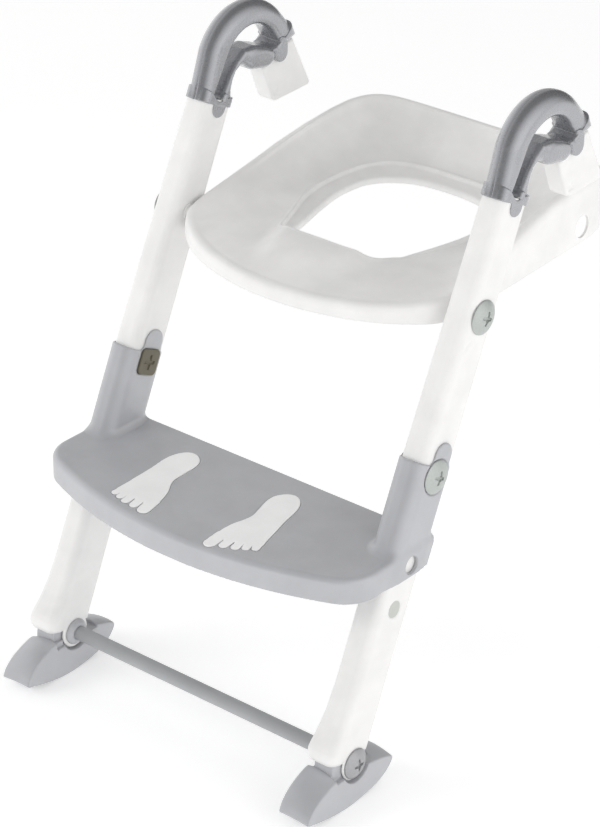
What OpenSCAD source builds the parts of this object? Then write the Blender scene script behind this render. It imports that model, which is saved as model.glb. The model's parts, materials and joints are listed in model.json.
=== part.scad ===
/* [Overall] */
// Distance between the middle planes of the two rails
rail_pitch = 368; // [330:1:400]
// Angle of the rails from upright, leaning back towards the toilet
lean = 25; // [20:0.5:30]
// Height of the foot hinges above the floor
pivot_z = 43.5; // [42:0.5:46]

/* [Rails and legs] */
// Width of a rail, across the chair
rail_w = 30; // [26:1:34]
// Depth of a rail at its top, front to back
rail_d = 42; // [38:1:44]
// Depth of a leg, and of the socket that takes it
leg_d = 51; // [48:1:54]
// Corner radius of a rail
rail_r = 9; // [6:1:11]
// Wall thickness of the rails and legs
wall = 2.5; // [2:0.25:3]
// Height-setting travel of the legs
leg_travel = 46; // [30:1:46]

/* [Step] */
// Height of the tread above the floor
tread_z = 245; // [235:1:255]
// Depth of the front skirt below the tread
skirt_h = 27; // [20:1:32]
// Half width of the step
step_half_w = 201.5; // [198:0.5:204]
// Radius of the bowed front edge
front_bow_r = 458; // [420:1:520]

/* [Seat] */
// Half width of the seat at the hinge
seat_half_w = 166; // [150:1:166]
// Height of the seat's lower edge above the floor
seat_base_z = 436; // [430:1:440]
// Height of the splash guard ahead of the opening
seat_ring_z = 470; // [466:1:474]
// Height of the back rim
seat_back_z = 501; // [494:1:506]

/* [Feet] */
// Width of a foot
foot_w = 37; // [34:1:38]
// Diameter of the tie rod
rod_d = 15; // [12:1:16]

/* [Hidden] */
$fn = 64;

// Places on the rail, measured up from the foot hinge
rail_x = rail_pitch / 2;
rail_set = -3;
rail_back = rail_set + rail_d / 2;
screw_u = 289;
screw_v = -6.5;
index_u = 202;
index_v = -8;
seat_u = 446;
seat_v = -4.5;
taper_a = 1.5;
rail_foot_u = 270;
rail_top_u = 561.8;
leg_shoulder_u = 222;
tongue_top_u = 345;
collar_u = 556;

// Whole-object placing: the box is centred on Y
toe_y = -73;
seat_back_y = 463;
pivot_y = -(toe_y + seat_back_y) / 2;

// Fits
gap = 0.2;
run_gap = 0.05;
eps = 0.01;

// Fasteners
screw_r = 4;
spigot_r = 5;
knob_r = 17.5;
knob_h = 7;
clamp_knob_h = 6;
rim_h = 1.3;
foot_knob_r = 16;
sink = 1.3;
nut_side = 27;

// Seat: plan points are [across, rear of the foot hinge], for the right half from front to rear
bowl_y = 300;
seat_plan = [
  [0, 104.6], [30, 106], [58, 111], [90, 120.5], [120, 135], [147, 155], [160, 170],
  [seat_half_w, 190], [165.5, 240], [164, 280], [162, 320], [160, 360], [158.5, 400],
  [155, 430], [146, 449], [128, 459], [100, 462], [50, seat_back_y], [0, seat_back_y]
];
rim_plan = [
  [0, 188], [40, 188.5], [58, 196], [70, 217], [82, 245], [94, 275], [100, 310],
  [99, 348], [91, 380], [70, 401], [35, 408.5], [0, 409]
];
lip_plan = [
  [0, 198], [35, 198.5], [50, 203], [57, 215], [65, 245], [73, 275], [80, 310],
  [80, 340], [75, 358], [62, 374], [38, 387], [0, 391]
];
// Height of the outer edge against distance to the rear
edge_line = [
  [100, 451.5], [150, 455.5], [184, 462], [209, 467], [245, 474], [279, 481],
  [306, 487.5], [351, 495.5], [391, 499.5], [420, seat_back_z], [seat_back_y, seat_back_z]
];
ridge_z = 458.5;
lip_z = 446.5;
guard_h = seat_ring_z - ridge_z;
seat_wall = 3.2;
hang_r = 12;
hang_y = 401;
hang_z = 454;
hang_x = 150;
hang_length = 7;
rib_x = 120;
rib_y = 225;
rib_length = 150;
rib_h = 24;
pad_t = 3;
seat_steps = 80;

// Colours
grey = "#a9abb0";
white = "#efeee9";
steel = "#b9bdb9";
olive = "#5c574a";
rubber_grey = "#77797c";

// ---- curve helpers ----

// A closed smooth curve through the points p, with n steps between neighbours
function smooth(p, n = 4) = [
  for (i = [0 : len(p) - 1])
    for (j = [0 : n - 1])
      let (
        t = j / n,
        a = p[(i + len(p) - 1) % len(p)],
        b = p[i],
        c = p[(i + 1) % len(p)],
        d = p[(i + 2) % len(p)]
      )
      0.5 * (2 * b + (c - a) * t + (2 * a - 5 * b + 4 * c - d) * t * t
        + (3 * b - a - 3 * c + d) * t * t * t)
];

// Points on an arc about c
function arc(c, r, a0, a1, n = 12) = [
  for (i = [0 : n])
    let (a = a0 + (a1 - a0) * i / n)
    c + r * [cos(a), sin(a)]
];

function mix(a, b, t) = a + (b - a) * t;
function clamp01(t) = min(1, max(0, t));

// ---- placing helpers ----

// Puts a child on the right (side 1) or left (side -1) rail: x across, y to the rear, z up the rail
module on_rail(side) {
  translate([side * rail_x, pivot_y, pivot_z])
    rotate([-lean, 0, 0])
      children();
}

// Runs a child's +Z axis outwards, away from the middle of the chair
module outward(side) {
  rotate([0, side * 90, 0])
    children();
}

// Turns a drawing of (rear, up) into a plate of thickness t, centred across the chair
module side_plate(t) {
  rotate([90, 0, 90])
    linear_extrude(height = t, center = true)
      children();
}

// A rectangle with round corners, centred
module round_rect(w, d, r) {
  square([w, d - 2 * r], center = true);
  square([w - 2 * r, d], center = true);
  for (x = [-1, 1])
    for (y = [-1, 1])
      translate([x * (w / 2 - r), y * (d / 2 - r)])
        circle(r = r);
}

// A prism of depth d from u0 to u1, its back face on the rail's back line, grown by g on every side
module prism(d, u0, u1, g, fn = 64) {
  translate([0, rail_back - d / 2, u0])
    linear_extrude(height = u1 - u0)
      round_rect(rail_w + 2 * g, d + 2 * g, rail_r + g, $fn = fn);
}

// Depth of the rail at height u: it deepens towards the step
function rail_depth(u) = rail_d + (collar_u - u) * tan(taper_a);

// The tapered rail from u0 to u1, grown by g
module rail_prism(u0, u1, g = 0) {
  hull()
    for (u = [u0, u1 - eps])
      prism(rail_depth(u), u, u + eps, g, 32);
}

// The leg from u0 to u1, grown by g
module leg_prism(u0, u1, g = 0) {
  prism(leg_d, u0, u1, g);
}

// Ring of a round-cornered section at height u, its front at v0 and wider there by s a side
function section_ring(u, v0, s) = [
  for (c = [[1, 1], [-1, 1], [-1, -1], [1, -1]])
    let (
      a0 = c[0] > 0 ? (c[1] > 0 ? 0 : 270) : (c[1] > 0 ? 90 : 180),
      mid = [c[0] * (rail_w / 2 - rail_r + (c[1] > 0 ? 0 : s)),
        c[1] > 0 ? rail_back - rail_r : v0 + rail_r]
    )
    for (p = arc(mid, rail_r, a0, a0 + 90, 7))
      [p[0], p[1], u]
];

// A solid through rings of points, the lowest first
module loft(rings) {
  n = len(rings[0]);
  m = len(rings);
  polyhedron(
    points = [for (ring = rings) each ring],
    faces = concat(
      [[for (i = [0 : n - 1]) i]],
      [for (j = [0 : m - 2]) for (i = [0 : n - 1])
        [j * n + i, (j + 1) * n + i, (j + 1) * n + (i + 1) % n, j * n + (i + 1) % n]],
      [[for (i = [n - 1 : -1 : 0]) (m - 1) * n + i]]
    )
  );
}

// A round hole right across a rail at height u and depth v
module cross_hole(u, v, r, length = 60) {
  translate([0, v, u])
    rotate([0, 90, 0])
      cylinder(h = length, r = r, center = true);
}

// A domed head with a rim and a cross recess, face towards +Z
module cross_head(r, h) {
  difference() {
    rotate_extrude()
      polygon(concat(
        [[0, 0], [r, 0]],
        [for (i = [0 : 6]) let (q = 1 - i / 6) [r * q, rim_h + (h - rim_h) * (1 - q * q)]]
      ));
    for (a = [0, 90])
      rotate([0, 0, a])
        translate([0, 0, h])
          cube([r * 0.8, r * 0.17, 5], center = true);
  }
}

// ---- step ----

collar_top_u = 300;
corner_r = 38;
corner_x = step_half_w - corner_r;
tread_front_y = pivot_y - 45;
bow_y = tread_front_y + front_bow_r;
corner_y = bow_y - sqrt(pow(front_bow_r - corner_r, 2) - corner_x * corner_x);
corner_a = atan2(corner_x, bow_y - corner_y);
tread_rear_y = pivot_y + 118;
tread_t = 3.5;
skirt_z = tread_z - skirt_h;
column_g = 2.5;
column_x = rail_w / 2 + column_g;
index_r = 9;

// Outline of the tread, pulled in by m
function tread_outline(m) = concat(
  arc([0, bow_y], front_bow_r - m, -90 - corner_a, -90 + corner_a, 16),
  arc([corner_x, corner_y], corner_r - m, -90 + corner_a, 0, 8),
  [[step_half_w - m, tread_rear_y - m], [-step_half_w + m, tread_rear_y - m]],
  arc([-corner_x, corner_y], corner_r - m, -180, -90 - corner_a, 8)
);

// Outside of one socket column, with its collar and side tongues
module column_solid() {
  leg_prism(150, collar_top_u, column_g);
  translate([0, screw_v + 2, collar_top_u])
    side_plate(rail_w + 2 * column_g)
      union() {
        translate([-13, -4])
          square([26, 14]);
        translate([0, 10])
          circle(r = 13);
      }
}

// Room inside one column: the leg, the rail, the screw and the index hole
module column_cuts() {
  leg_prism(140, rail_foot_u, gap + 0.05);
  rail_prism(rail_foot_u - 1, 340, gap);
  cross_hole(screw_u, screw_v, screw_r + 0.15);
  cross_hole(index_u, index_v, index_r);
}

module step() {
  color(grey)
    difference() {
      union() {
        difference() {
          translate([0, 0, skirt_z])
            linear_extrude(height = skirt_h)
              polygon(tread_outline(0));
          translate([0, 0, skirt_z - eps])
            linear_extrude(height = skirt_h - tread_t)
              polygon(tread_outline(3));
        }
        for (x = [-120 : 40 : 120])
          translate([x - 1, tread_front_y + 20, skirt_z + 10])
            cube([2, 142, skirt_h - 11]);
        for (side = [-1, 1])
          intersection() {
            on_rail(side)
              column_solid();
            translate([-250, -300, skirt_z])
              cube([500, 600, 400]);
          }
      }
      for (side = [-1, 1])
        on_rail(side)
          column_cuts();
      // the step ends flush with the backs of the columns
      for (side = [-1, 1])
        on_rail(side)
          translate([-rail_w / 2 - column_g, rail_back + column_g, 100])
            cube([60, 80, 200]);
      for (side = [-1, 1])
        on_rail(side) {
          // recess for the nut inside, shallow well for the knob outside
          translate([-side * column_x, screw_v, screw_u])
            cube([2, nut_side + 2 * gap, nut_side + 2 * gap], center = true);
          translate([side * (column_x - sink), screw_v, screw_u])
            outward(side)
              cylinder(h = 10, r = knob_r + 0.9);
        }
      for (side = [-1, 1])
        footprint_shape(side, 0.15, 1);
    }
}

// ---- footprints ----

print_x = [-72, 58];
print_y = tread_front_y + 72;
print_lean = 8.5;

// Outline of the right print, its toes towards the front
sole_points = [
  [4, 61], [-3, 61], [-9.5, 57], [-15, 49], [-16.3, 38], [-14.5, 22], [-13, 8], [-15.5, -3],
  [-21, -16], [-24, -31], [-23.5, -41], [-14, -45], [-6, -44], [4, -43.5], [13, -42],
  [21, -40], [25.5, -36], [24, -25], [22, -5], [19.8, 14], [18.8, 34], [16.5, 46], [11, 56]
];

// Toes as [root, tip, root radius, tip radius], the big one towards the middle of the step
toes = [
  [[-18.5, -38], [-20, -57], 7, 6.6], [[-6.4, -43], [-6.7, -54], 5.2, 4.8],
  [[4.2, -43], [4.9, -51.4], 4.5, 4.5], [[13, -41], [14, -47.2], 4.1, 4.1],
  [[21.2, -38], [22.4, -43], 4.4, 4.1]
];

// A round-ended bar from p to q
module bar(p, q, r0, r1) {
  across_bar = [p[1] - q[1], q[0] - p[0]] / norm(q - p);
  translate(p)
    circle(r = r0);
  translate(q)
    circle(r = r1);
  polygon([p + across_bar * r0, q + across_bar * r1, q - across_bar * r1, p - across_bar * r0]);
}

// One print grown by g, its top t above the bottom of its recess
module footprint_shape(side, g, t) {
  translate([print_x[side < 0 ? 0 : 1], print_y, tread_z - 1])
    rotate(print_lean)
      mirror([side < 0 ? 1 : 0, 0, 0])
        linear_extrude(height = t + eps)
          offset(delta = g) {
            polygon(smooth(sole_points, 3));
            for (p = toes)
              bar(p[0], p[1], p[2], p[3], $fn = 24);
          }
}

module footprint_left() {
  color(white)
    footprint_shape(-1, 0, 1.6);
}

module footprint_right() {
  color(white)
    footprint_shape(1, 0, 1.6);
}

// ---- rails ----

module rail(side) {
  color(white)
    on_rail(side)
      difference() {
        rail_prism(rail_foot_u, rail_top_u);
        rail_prism(rail_foot_u - 1, rail_top_u + 1, -wall);
        cross_hole(screw_u, screw_v, screw_r + 0.15);
        cross_hole(seat_u, seat_v, spigot_r + 0.05);
      }
}

module rail_left() {
  rail(-1);
}

module rail_right() {
  rail(1);
}

// ---- handles ----

handle_w = 33;
bend = [34, 603];
bend_r = 65;
grip_t = 24;
end_c = [78, 622];
end_a = 40.5;

handle_points = concat(
  [[-25.5, collar_u], [-28, 575]],
  arc(bend, bend_r, 180, 65, 14),
  [[80, 654], [92, 643], [86, 637], [66, 622], [64, 612], [55, 606], [42, 602], [25, 600],
   [17, 598], [13, 592], [12, 584], [13, 575], [20, 567], [20, collar_u]]
);

slot_points = concat(
  arc([-5, 569], 5, 180, 360, 8),
  [[3, 590], [8, 605], [16, 617], [30, 623], [50, 624], [61, 621]],
  arc(bend, bend_r - grip_t, 42, 178, 14)
);

// The tongue on the side faces of the handle, over the rail
module handle_tongue() {
  translate([rail_set, collar_u - 4])
    circle(r = 10);
  translate([rail_set - 10, collar_u - 4])
    square([20, 8]);
}

// The tongue at the back end of the handle
module end_tongue() {
  translate([72, 621])
    circle(r = 9.5);
}

// Side outline of the handle, with the hand slot left open
module handle_outline() {
  difference() {
    union() {
      polygon(handle_points);
      handle_tongue();
      end_tongue();
    }
    polygon(slot_points);
  }
}

module handle_solid() {
  difference() {
    side_plate(handle_w)
      handle_outline();
    // socket that takes the top of the rail
    prism(rail_d, 500, rail_top_u + gap, gap);
    end_cut();
  }
  // spigot inside the rail
  prism(rail_d, 530, collar_u + 9, -wall - gap);
}

// Room for the handle end and its plug
module end_cut() {
  end_plug(gap);
  side_plate(end_w + 2 * gap)
    offset(delta = gap)
      polygon(end_points);
}

end_w = 22;

end_points = [
  [91, 638], [139, 599], [137, 595], [91, 571.5], [85, 573], [56, 601], [58, 606], [66, 618],
  [86, 635]
];

// Plug that holds the handle end in the handle
module end_plug(g = 0) {
  translate([0, end_c[0], end_c[1]])
    rotate([90 + end_a, 0, 0])
      cube([14 + 2 * g, 12 + 2 * g, 16 + 2 * g], center = true);
}

module handle_half(side, outer) {
  color(grey)
    on_rail(side)
      intersection() {
        handle_solid();
        translate([side * outer * 50.1, 0, 600])
          cube([100, 400, 300], center = true);
      }
}

module handle_left_outer() {
  handle_half(-1, 1);
}

module handle_left_inner() {
  handle_half(-1, -1);
}

module handle_right_outer() {
  handle_half(1, 1);
}

module handle_right_inner() {
  handle_half(1, -1);
}

module handle_end(side) {
  color(white)
    on_rail(side)
      difference() {
        union() {
          side_plate(end_w)
            polygon(end_points);
          end_plug();
        }
        // key slot at the lower front corner
        translate([0, 88, 581])
          rotate([end_a - 90, 0, 0])
            cube([end_w + 2, 7, 7], center = true);
      }
}

module handle_end_left() {
  handle_end(-1);
}

module handle_end_right() {
  handle_end(1);
}

// ---- screws and nuts through the rails ----

// A screw across the rail at height u and depth v: knob h high outside, shank reaching inwards
module knob_screw(side, u, v, shank_r, reach, head_x, h = knob_h) {
  on_rail(side)
    translate([side * head_x, v, u])
      outward(side) {
        cross_head(knob_r, h);
        translate([0, 0, -reach])
          cylinder(h = reach + eps, r = shank_r);
      }
}

clamp_x = column_x - sink + 0.1;
clamp_reach = clamp_x + column_x - 1;

module clamp_screws() {
  color(steel)
    for (side = [-1, 1])
      knob_screw(side, screw_u, screw_v, screw_r, clamp_reach, clamp_x, clamp_knob_h);
}

module clamp_nuts() {
  color(olive)
    for (side = [-1, 1])
      on_rail(side)
        translate([-side * (column_x - 0.9), screw_v, screw_u])
          outward(-side)
            difference() {
              linear_extrude(height = 3)
                round_rect(nut_side, nut_side, 5);
              for (a = [0, 90])
                rotate([0, 0, a])
                  translate([0, 0, 3])
                    cube([15, 3, 3], center = true);
            }
}

// The seat screw ends inside the seat's boss
boss_r = 9.5;
boss_in = 26;
seat_reach = rail_x + rail_w / 2 + 0.1 - (seat_half_w - boss_in) + 4;

module seat_screws() {
  color(steel)
    for (side = [-1, 1])
      knob_screw(side, seat_u, seat_v, spigot_r, seat_reach, rail_w / 2 + 0.1);
}

module seat_nuts() {
  color(steel)
    for (side = [-1, 1])
      seat_axis(side)
        translate([0, 0, -boss_in - 4])
          difference() {
            cylinder(h = 3.5, r = 6.6);
            translate([0, 0, -1])
              cylinder(h = 6, r = spigot_r + 0.1);
          }
}

// ---- seat ----

// Frame on the seat hinge, z outwards, at the seat's outer face
module seat_axis(side) {
  on_rail(side)
    translate([side * (seat_half_w - rail_x), seat_v, seat_u])
      outward(side)
        children();
}

// A plan curve as a table of [angle about the opening's centre, radius]
function polar(plan) = [
  for (p = plan)
    [atan2(p[1] - bowl_y, p[0]), norm(p - [0, bowl_y])]
];

// The same curve on both sides, at angle t
function both(table, t) = lookup(atan2(sin(t), abs(cos(t))), table);

// Closes a right half on its mirror image, smooths it, and keeps the right half
function rounded_half(plan) = [
  for (p = smooth(concat(plan, [for (i = [len(plan) - 2 : -1 : 1]) [-plan[i][0], plan[i][1]]]), 3))
    if (p[0] >= 0)
      p
];

seat_table = polar(rounded_half(seat_plan));
rim_table = polar(rounded_half(rim_plan));
lip_table = polar(rounded_half(lip_plan));

function ease(low, high, value) =
  let (t = clamp01((value - low) / (high - low)))
  t * t * (3 - 2 * t);

// Height of the splash guard ahead of the opening
function guard(x, y) =
  let (reach = lookup(y, [[126, 36], [200, 60], [215, 64]]))
  guard_h * (1 - ease(reach - 16, reach + 13, abs(x)))
    * ease(104, 182, y) * (1 - ease(206, 236, y));

// Closed section at angle t as [radius, height, share of the guard's height]
function seat_section(t) =
  let (
    lip = both(lip_table, t),
    rim = both(rim_table, t),
    out = both(seat_table, t),
    ez = lookup(bowl_y + out * sin(t), edge_line)
  )
  [
    [lip, lip_z, 0],
    [lip + 1, lip_z + 5, 0],
    [mix(lip, rim, 0.4), 453.8, 0.1],
    [mix(lip, rim, 0.8), 455, 0.4],
    [rim - 0.4, ridge_z + 0.4, 0.96],
    [rim + 3.4, ridge_z + 0.3, 1],
    [mix(rim, out, 0.2), mix(ridge_z, ez, 0.05), 1],
    [mix(rim, out, 0.35), mix(ridge_z, ez, 0.17), 1],
    [mix(rim, out, 0.5), mix(ridge_z, ez, 0.37), 1],
    [mix(rim, out, 0.65), mix(ridge_z, ez, 0.62), 1],
    [mix(rim, out, 0.8), mix(ridge_z, ez, 0.86), 1],
    [out - 8, ez, 1],
    [out - 3.5, ez - 1, 1],
    [out - 0.8, ez - 5, 0.8],
    [out, seat_base_z, 0],
    [out - seat_wall, seat_base_z, 0],
    [out - seat_wall - 1, ez - 8, 0.2],
    [out - seat_wall - 4, ez - 4, 0.8],
    [mix(rim, out, 0.65) - 1, mix(ridge_z, ez, 0.62) - seat_wall, 1],
    [mix(rim, out, 0.35), mix(ridge_z, ez, 0.17) - seat_wall, 1],
    [rim + 3, ridge_z - seat_wall, 1],
    [mix(lip, rim, 0.8), 451.4, 0.4],
    [lip + seat_wall, lip_z + 3, 0],
    [lip + seat_wall, lip_z, 0]
  ];

module seat_skin() {
  m = len(seat_section(0));
  points = [
    for (i = [0 : seat_steps - 1])
      let (t = 360 * i / seat_steps)
      for (q = seat_section(t))
        let (
          x = q[0] * cos(t),
          y = bowl_y + q[0] * sin(t)
        )
        [x, pivot_y + y, q[1] + q[2] * guard(x, y)]
  ];
  faces = [
    for (i = [0 : seat_steps - 1])
      for (j = [0 : m - 1])
        let (
          a = i * m + j,
          b = i * m + (j + 1) % m,
          c = ((i + 1) % seat_steps) * m + (j + 1) % m,
          d = ((i + 1) % seat_steps) * m + j
        )
        each [[a, c, b], [a, d, c]]
  ];
  polyhedron(points = points, faces = faces);
}

module seat_shell() {
  color(white)
    difference() {
      union() {
        seat_skin();
        for (side = [-1, 1]) {
          seat_axis(side)
            translate([0, 0, -boss_in])
              cylinder(h = boss_in - 0.5, r = boss_r);
          translate([side * hang_x, pivot_y + hang_y, hang_z])
            outward(side)
              cylinder(h = hang_length, r = hang_r + 5);
          // rest rib with its foot plate
          translate([side * rib_x - 2, pivot_y + rib_y, seat_base_z])
            cube([4, rib_length, rib_h]);
          translate([side * rib_x - 9, pivot_y + rib_y, seat_base_z])
            cube([18, rib_length, 3]);
        }
      }
      for (side = [-1, 1]) {
        seat_axis(side)
          translate([0, 0, -boss_in - 5])
            cylinder(h = boss_in + 7, r = bush_r + 0.05);
        translate([side * (hang_x - 20), pivot_y + hang_y, hang_z])
          outward(side)
            cylinder(h = 40, r = hang_r);
        for (y = pad_ys)
          for (x = [-5, 5])
            translate([side * rib_x + x, pivot_y + y, seat_base_z - 1])
              cylinder(h = 10, r = 1.6);
      }
    }
}

bush_r = 7.5;

module seat_bushes() {
  color(white)
    for (side = [-1, 1])
      seat_axis(side)
        difference() {
          union() {
            translate([0, 0, -boss_in + 0.2])
              cylinder(h = boss_in + 1, r = bush_r);
            translate([0, 0, 1.1])
              cylinder(h = 1.6, r = 9);
          }
          translate([0, 0, -boss_in - 1])
            cylinder(h = boss_in + 6, r = spigot_r + run_gap);
        }
}

pad_ys = [255, 345];

// Anti-slip pads under the rest ribs, each with two pegs
module seat_pads() {
  color(rubber_grey)
    for (side = [-1, 1])
      for (y = pad_ys)
        translate([side * rib_x, pivot_y + y, seat_base_z - pad_t]) {
          linear_extrude(height = pad_t)
            round_rect(16, 50, 6);
          for (x = [-5, 5])
            translate([x, 0, 0])
              cylinder(h = pad_t + 3, r = 1.5);
        }
}

// ---- legs ----

ear_x = 3;
ear_r = 17.5;
seat_depth = 8;
leg_front = rail_back - leg_d;

// Front of the leg as [height, depth, swell], lowest first: it grows a bulb over the foot
leg_line = [
  [-5, -34, 0.3], [-4, -37, 0.9], [-2, -39.8, 1.4], [1.5, -42, 1.9], [7, -42.8, 2.2],
  [13, -41.8, 2.1], [23, -38.6, 1.3], [36, -35.8, 0.5], [52, -34, 0.1], [70, leg_front, 0],
  [leg_shoulder_u, leg_front, 0]
];

// One leg: full section up to the shoulder, then a narrower tongue inside the rail
module leg(side) {
  color(white)
    on_rail(side)
      difference() {
        union() {
          difference() {
            loft([for (q = leg_line) section_ring(q[0], q[1], q[2])]);
            ear_trim();
          }
          tongue(leg_shoulder_u - 12, 0);
          for (x = [-1, 1])
            translate([x * (rail_w - ear_x) / 2, 0, 0])
              rotate([0, 90, 0])
                cylinder(h = ear_x, r = ear_r, center = true);
        }
        // fork at the foot, open at the back
        translate([-rail_w / 2 + ear_x, leg_front + ear_x, -30])
          cube([rail_w - 2 * ear_x, 80, 54]);
        leg_prism(20, leg_shoulder_u - 14, -ear_x);
        tongue(20, wall);
        // shallow mark that shows in the step's hole when the legs are out
        for (x = [-1, 1])
          translate([x * rail_w / 2, index_v, index_u - leg_travel])
            rotate([0, 90, 0])
              cylinder(h = 3, r = index_r, center = true);
        // slot that the clamp screw slides in
        for (u = [screw_u - leg_travel, screw_u])
          cross_hole(u, screw_v, screw_r + 0.3);
        translate([0, screw_v, screw_u - leg_travel / 2])
          cube([60, 2 * (screw_r + 0.3), leg_travel], center = true);
        cross_hole(0, 0, spigot_r + run_gap);
        // flat seats for the screw heads and the rod's discs
        for (x = [-1, 1])
          translate([x * (rail_w / 2 + seat_depth / 2), 0, 0])
            rotate([0, 90, 0])
              cylinder(h = seat_depth, r = ear_r, center = true);
      }
}

// The part of the leg that slides inside the rail, pulled in by m
module tongue(u0, m) {
  prism(rail_d, u0, tongue_top_u + (m > 0 ? 1 : 0), -wall - 0.3 - m);
}

// Takes the leg's lower rear corner off, outside the round ears
module ear_trim() {
  difference() {
    side_plate(2 * rail_w)
      polygon([[-20, -6], [-12, 0], [0, 10], [60, 10], [60, -30], [-20, -30]]);
    cross_hole(0, 0, ear_r, 80);
  }
}

module leg_left() {
  leg(-1);
}

module leg_right() {
  leg(1);
}

// ---- tie rod ----

rod_half = rail_x - rail_w / 2 - 0.1;
spigot_half = rail_x + rail_w / 2;
rod_thread_r = 3;

module across(h, r) {
  translate([0, pivot_y, pivot_z])
    rotate([0, 90, 0])
      cylinder(h = h, r = r, center = true);
}

module tie_rod() {
  color(grey)
    difference() {
      union() {
        across(2 * rod_half, rod_d / 2);
        across(2 * spigot_half, spigot_r);
      }
      for (side = [-1, 1])
        translate([side * (spigot_half - 9), 0, 0])
          across(20, rod_thread_r + 0.1);
    }
}

module rod_discs() {
  color(grey)
    for (side = [-1, 1])
      difference() {
        translate([side * (rod_half - 5.8), pivot_y, pivot_z])
          outward(side)
            cylinder(h = 5.6, r1 = 9.5, r2 = 14);
        across(500, rod_d / 2 + 0.05);
      }
}

module rod_screws() {
  color(steel)
    for (side = [-1, 1])
      translate([side * (spigot_half + 0.1), pivot_y, pivot_z])
        outward(side) {
          cross_head(foot_knob_r, knob_h);
          translate([0, 0, -15])
            cylinder(h = 15 + eps, r = rod_thread_r);
        }
}

// ---- feet ----

// Side outline through the crown of the foot; the bottom comes first
foot_points = [
  [toe_y, -31.5], [-65, -34], [-57, -36.5], [-41, -40.3], [-25, -42.8], [-12, -43.5], [0, -43],
  [19, -40.3], [32, -36.8], [42, -31.8], [49, -26], [53.5, -20], [55, -16], [54, -13.5],
  [51, -11.5], [44, -8.5], [34, -5.5], [20, -2], [9, 1], [-9, 2.5], [-22, 2.5], [-30, 1.8],
  [-40, -0.5], [-52, -6], [-61, -12], [-69, -20.5], [-72.5, -27.5]
];

// How far the top falls towards the inner and the outer side
crown_drop = [2.5, 6];
foot_stations = [-1, -0.6, 0, 0.6, 1];
neck_r = 29.4;
recess_r = 30;
recess_z = -8;

// The side outline at station s across the foot, -1 inner to 1 outer
function foot_line(s) =
  let (drop = crown_drop[s < 0 ? 0 : 1] * s * s)
  [for (p = foot_points) [p[0], p[1] - drop * clamp01((p[1] + 42) / 34)]];

sole_t = 2.5;
sole_w = 30;
neck_w = rail_w - 2 * ear_x - 0.8;

sole_first = 2;
sole_last = 8;

// Room for the rubber along the bottom of the foot
module sole_band(m) {
  polygon(concat(
    [for (i = [sole_first : sole_last]) [foot_points[i][0], foot_points[i][1] - 1]],
    [for (i = [sole_last : -1 : sole_first])
      [foot_points[i][0] + (i == sole_last ? m : i == sole_first ? -m : 0),
        foot_points[i][1] + sole_t + m]]
  ));
}

module foot_frame(side) {
  translate([side * (rail_x + 0.2), pivot_y, pivot_z])
    children();
}

// Room round the leg: its ears, and the bulb above the recess
module foot_recess() {
  circle(r = ear_r + 2);
  intersection() {
    circle(r = recess_r);
    translate([-60, recess_z])
      square([120, 60]);
  }
}

module neck_outline() {
  intersection() {
    circle(r = neck_r);
    translate([-neck_r, -36])
      square([neck_r + 12, 45]);
  }
}

module foot(side) {
  color(grey)
    foot_frame(side)
      difference() {
        union() {
          difference() {
            hull()
              for (s = foot_stations)
                translate([side * s * (foot_w / 2 - eps), 0, 0])
                  side_plate(2 * eps)
                    polygon(foot_line(s));
            side_plate(foot_w + 2)
              foot_recess();
          }
          side_plate(neck_w)
            neck_outline();
        }
        rotate([0, 90, 0])
          cylinder(h = 80, r = spigot_r + run_gap, center = true);
        side_plate(sole_w + 0.3)
          sole_band(0.15);
      }
}

module foot_left() {
  foot(-1);
}

module foot_right() {
  foot(1);
}

module sole(side) {
  color(rubber_grey)
    foot_frame(side)
      side_plate(sole_w)
          polygon(concat(
            [for (i = [sole_first : sole_last]) foot_points[i]],
            [for (i = [sole_last : -1 : sole_first])
              [foot_points[i][0], foot_points[i][1] + sole_t]]
          ));
}

module sole_left() {
  sole(-1);
}

module sole_right() {
  sole(1);
}

step();
footprint_left();
footprint_right();
rail_left();
rail_right();
handle_left_outer();
handle_left_inner();
handle_right_outer();
handle_right_inner();
handle_end_left();
handle_end_right();
clamp_screws();
clamp_nuts();
seat_screws();
seat_nuts();
seat_shell();
seat_bushes();
seat_pads();
leg_left();
leg_right();
tie_rod();
rod_discs();
rod_screws();
foot_left();
foot_right();
sole_left();
sole_right();
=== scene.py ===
"""Toilet ladder seat for a child: the visible shapes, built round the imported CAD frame.

Each moulded part is described as a signed distance field in millimetres, so that its edges and
inside corners carry true moulding radii, and is meshed with OpenVDB. The seat is a lofted skin.
"""

import json
import math

import bpy
import numpy as np
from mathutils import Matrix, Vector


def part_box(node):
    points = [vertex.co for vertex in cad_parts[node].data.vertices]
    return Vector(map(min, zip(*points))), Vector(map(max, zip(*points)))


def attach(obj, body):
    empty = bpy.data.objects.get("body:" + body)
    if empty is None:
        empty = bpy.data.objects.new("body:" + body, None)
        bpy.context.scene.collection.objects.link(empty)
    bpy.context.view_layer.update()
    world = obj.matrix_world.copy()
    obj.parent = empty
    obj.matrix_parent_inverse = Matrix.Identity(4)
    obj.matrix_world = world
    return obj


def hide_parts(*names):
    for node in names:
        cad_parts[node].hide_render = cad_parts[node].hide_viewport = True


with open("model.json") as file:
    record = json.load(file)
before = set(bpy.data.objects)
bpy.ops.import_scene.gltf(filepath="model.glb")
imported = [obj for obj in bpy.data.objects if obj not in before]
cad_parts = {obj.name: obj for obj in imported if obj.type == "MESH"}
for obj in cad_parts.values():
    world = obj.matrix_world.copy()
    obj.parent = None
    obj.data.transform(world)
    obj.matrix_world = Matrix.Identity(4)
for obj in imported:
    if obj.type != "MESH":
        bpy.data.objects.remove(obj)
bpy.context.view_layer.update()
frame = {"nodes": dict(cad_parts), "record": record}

import openvdb as vdb
from mathutils import Vector

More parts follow.
